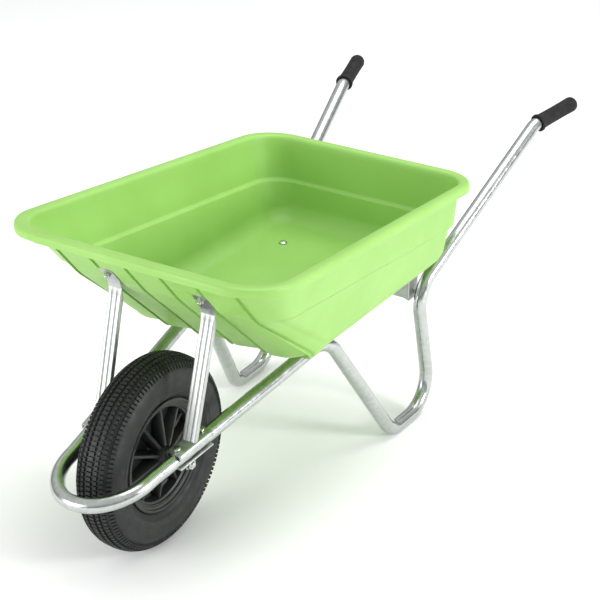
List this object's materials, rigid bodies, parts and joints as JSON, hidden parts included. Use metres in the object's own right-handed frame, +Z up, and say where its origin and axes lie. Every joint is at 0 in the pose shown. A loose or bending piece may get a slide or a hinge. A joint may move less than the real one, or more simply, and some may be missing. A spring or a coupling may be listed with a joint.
{
  "type": "wheelbarrow",
  "caption": "Garden wheelbarrow: lime-green moulded tray on a one-piece galvanised tube frame, with fluted front stays, black grips and a pneumatic wheel that turns on its axle.",
  "frame": {"origin": "on the ground under the middle of the barrow's length and width", "axes": "+Z up, +Y towards the handles with the wheel at -Y, +X to the side; the YZ plane is the plane of symmetry of frame and wheel"},
  "size_m": [0.625, 1.5207, 0.6365],
  "materials": {
    "lime_polypropylene": "lime-green injection-moulded polypropylene, satin with a faint moulded grain",
    "galvanised_steel": "galvanised steel tube and pressings, light grey and softly reflective",
    "zinc_plated_steel": "bright zinc-plated bolts and nuts",
    "tyre_rubber": "black moulded rubber, matt",
    "black_plastic": "black moulded plastic, satin",
    "grip_pvc": "soft charcoal PVC with a fine grain"
  },
  "bodies": {
    "root": {"frame_tube": "galvanised_steel", "tray": "lime_polypropylene", "cross_brace": "galvanised_steel", "axle": "zinc_plated_steel", "grip_right": "grip_pvc", "stay_right": "galvanised_steel", "axle_bracket_right": "galvanised_steel", "axle_nut_right": "zinc_plated_steel", "axle_spacer_right": "black_plastic", "brace_bolt_right": "zinc_plated_steel", "floor_bolt_right": "zinc_plated_steel", "floor_nut_right": "zinc_plated_steel", "tray_bolt_right": "zinc_plated_steel", "tray_nut_right": "zinc_plated_steel", "stay_bolt_right_front": "zinc_plated_steel", "stay_bolt_right_rear": "zinc_plated_steel", "stay_nut_right_front": "zinc_plated_steel", "stay_nut_right_rear": "zinc_plated_steel", "grip_left": "grip_pvc", "stay_left": "galvanised_steel", "axle_bracket_left": "galvanised_steel", "axle_nut_left": "zinc_plated_steel", "axle_spacer_left": "black_plastic", "brace_bolt_left": "zinc_plated_steel", "floor_bolt_left": "zinc_plated_steel", "floor_nut_left": "zinc_plated_steel", "tray_bolt_left": "zinc_plated_steel", "tray_nut_left": "zinc_plated_steel", "stay_bolt_left_front": "zinc_plated_steel", "stay_bolt_left_rear": "zinc_plated_steel", "stay_nut_left_front": "zinc_plated_steel", "stay_nut_left_rear": "zinc_plated_steel"},
    "wheel": {"tyre": "tyre_rubber", "inner_tube": "tyre_rubber", "wheel_rim": "black_plastic", "wheel_bearing_right": "black_plastic", "wheel_bearing_left": "black_plastic", "valve_stem": "tyre_rubber", "valve_cap": "black_plastic"}
  },
  "joints": [
    {"name": "wheel_spin", "type": "hinge", "parent": "root", "child": "wheel", "pos_m": [0, -0.506, 0.2], "axis": [1, 0, 0], "continuous": true}
  ]
}
